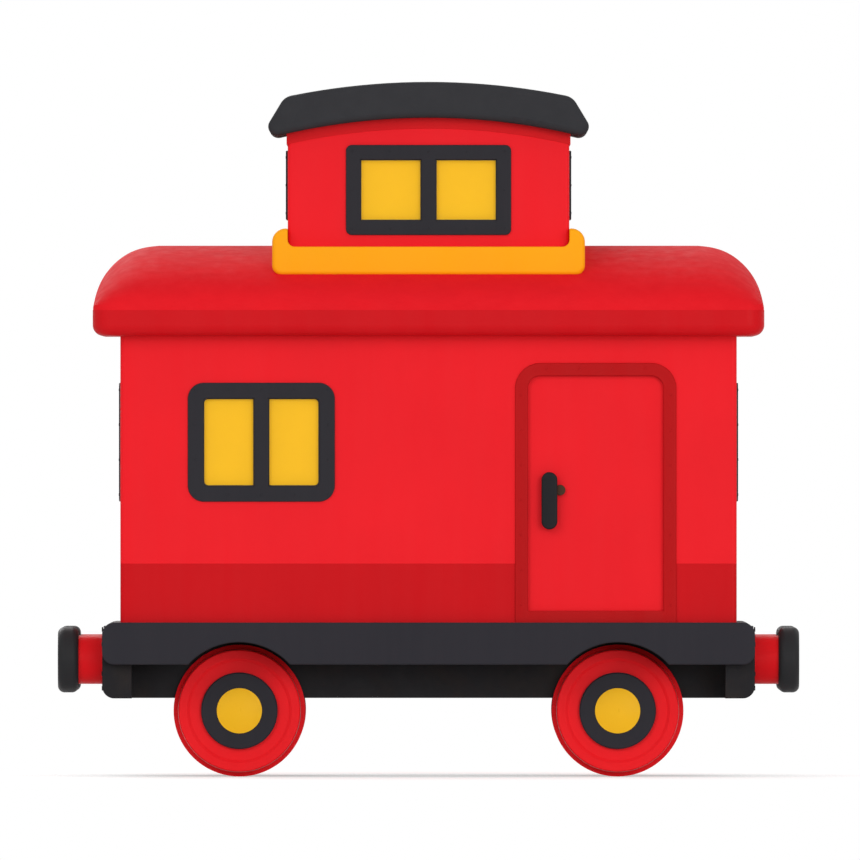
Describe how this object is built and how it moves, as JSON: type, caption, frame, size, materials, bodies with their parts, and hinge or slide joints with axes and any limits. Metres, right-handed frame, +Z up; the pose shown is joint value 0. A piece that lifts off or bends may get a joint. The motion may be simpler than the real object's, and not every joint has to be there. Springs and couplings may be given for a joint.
{
  "type": "caboose",
  "caption": "Short four-wheel railway caboose with an arched roof, a central cupola, side doors that open inwards, two-pane windows and side buffers.",
  "frame": {"origin": "on the ground plane under the middle of the car, at the level of the flange tips", "axes": "+X towards the front buffers, to the right in the picture; +Y towards the left side, away from the viewer of the picture; +Z up"},
  "size_m": [5.046, 2.82, 4.729],
  "materials": {
    "sill_charcoal": "satin",
    "frame_black": "satin",
    "spring_steel": "satin",
    "floor_boards": "matt",
    "buffer_red": "gloss",
    "buffer_black": "satin",
    "window_charcoal": "satin",
    "amber_glass": "gloss",
    "door_frame_red": "gloss",
    "hinge_steel": "satin",
    "body_red": "gloss",
    "band_red": "gloss",
    "roof_red": "satin",
    "eave_red": "gloss",
    "ceiling_paint": "matt",
    "collar_orange": "gloss",
    "frieze_red": "gloss",
    "cupola_roof_charcoal": "satin",
    "axle_steel": "turned",
    "wheel_red": "gloss",
    "hub_charcoal": "satin",
    "hub_yellow": "gloss",
    "handle_black": "satin",
    "latch_brown": "satin"
  },
  "bodies": {
    "carbody": {"side_sill_left": "sill_charcoal", "side_sill_right": "sill_charcoal", "buffer_beam_front": "frame_black", "buffer_beam_rear": "frame_black", "main_frame_left": "frame_black", "main_frame_right": "frame_black", "cross_bearers": "frame_black", "floor_deck": "floor_boards", "axle_boxes": "frame_black", "horn_guides": "frame_black", "leaf_springs": "spring_steel", "spring_shoes": "frame_black", "buffer_stems_front": "buffer_red", "buffer_stems_rear": "buffer_red", "buffer_heads_front": "buffer_black", "buffer_heads_rear": "buffer_black", "draw_hook_front": "frame_black", "draw_hook_rear": "frame_black", "body_window_frames": "window_charcoal", "body_window_panes": "amber_glass", "door_frame_left": "door_frame_red", "door_frame_right": "door_frame_red", "door_hinges_left": "hinge_steel", "door_hinges_right": "hinge_steel", "side_wall_left": "body_red", "side_wall_right": "body_red", "end_wall_front": "body_red", "end_wall_rear": "body_red", "lower_panels": "band_red", "main_roof": "roof_red", "eave_ring": "eave_red", "ceiling": "ceiling_paint", "cupola_side_walls": "body_red", "cupola_end_walls": "body_red", "cupola_window_frames": "window_charcoal", "cupola_window_panes": "amber_glass", "cupola_collar": "collar_orange", "cupola_frieze": "frieze_red", "cupola_roof": "cupola_roof_charcoal"},
    "wheelset_front": {"front_axle": "axle_steel", "front_wheels": "wheel_red", "front_hub_rings": "hub_charcoal", "front_hub_caps": "hub_yellow"},
    "wheelset_rear": {"rear_axle": "axle_steel", "rear_wheels": "wheel_red", "rear_hub_rings": "hub_charcoal", "rear_hub_caps": "hub_yellow"},
    "door_right": {"door_leaf_right": "body_red", "door_handle_right": "handle_black", "door_latch_right": "latch_brown"},
    "door_left": {"door_leaf_left": "body_red", "door_handle_left": "handle_black", "door_latch_left": "latch_brown"}
  },
  "joints": [
    {"name": "front_wheelset_spin", "type": "hinge", "parent": "carbody", "child": "wheelset_front", "pos_m": [1.288, 0, 0.449], "axis": [0, 1, 0], "continuous": true},
    {"name": "rear_wheelset_spin", "type": "hinge", "parent": "carbody", "child": "wheelset_rear", "pos_m": [-1.288, 0, 0.449], "axis": [0, 1, 0], "continuous": true},
    {"name": "right_door_hinge", "type": "hinge", "parent": "carbody", "child": "door_right", "pos_m": [1.615, -1.124, 1.931], "axis": [0, 0, -1], "range_deg": [0, 90]},
    {"name": "left_door_hinge", "type": "hinge", "parent": "carbody", "child": "door_left", "pos_m": [1.615, 1.124, 1.931], "axis": [0, 0, 1], "range_deg": [0, 90]}
  ]
}
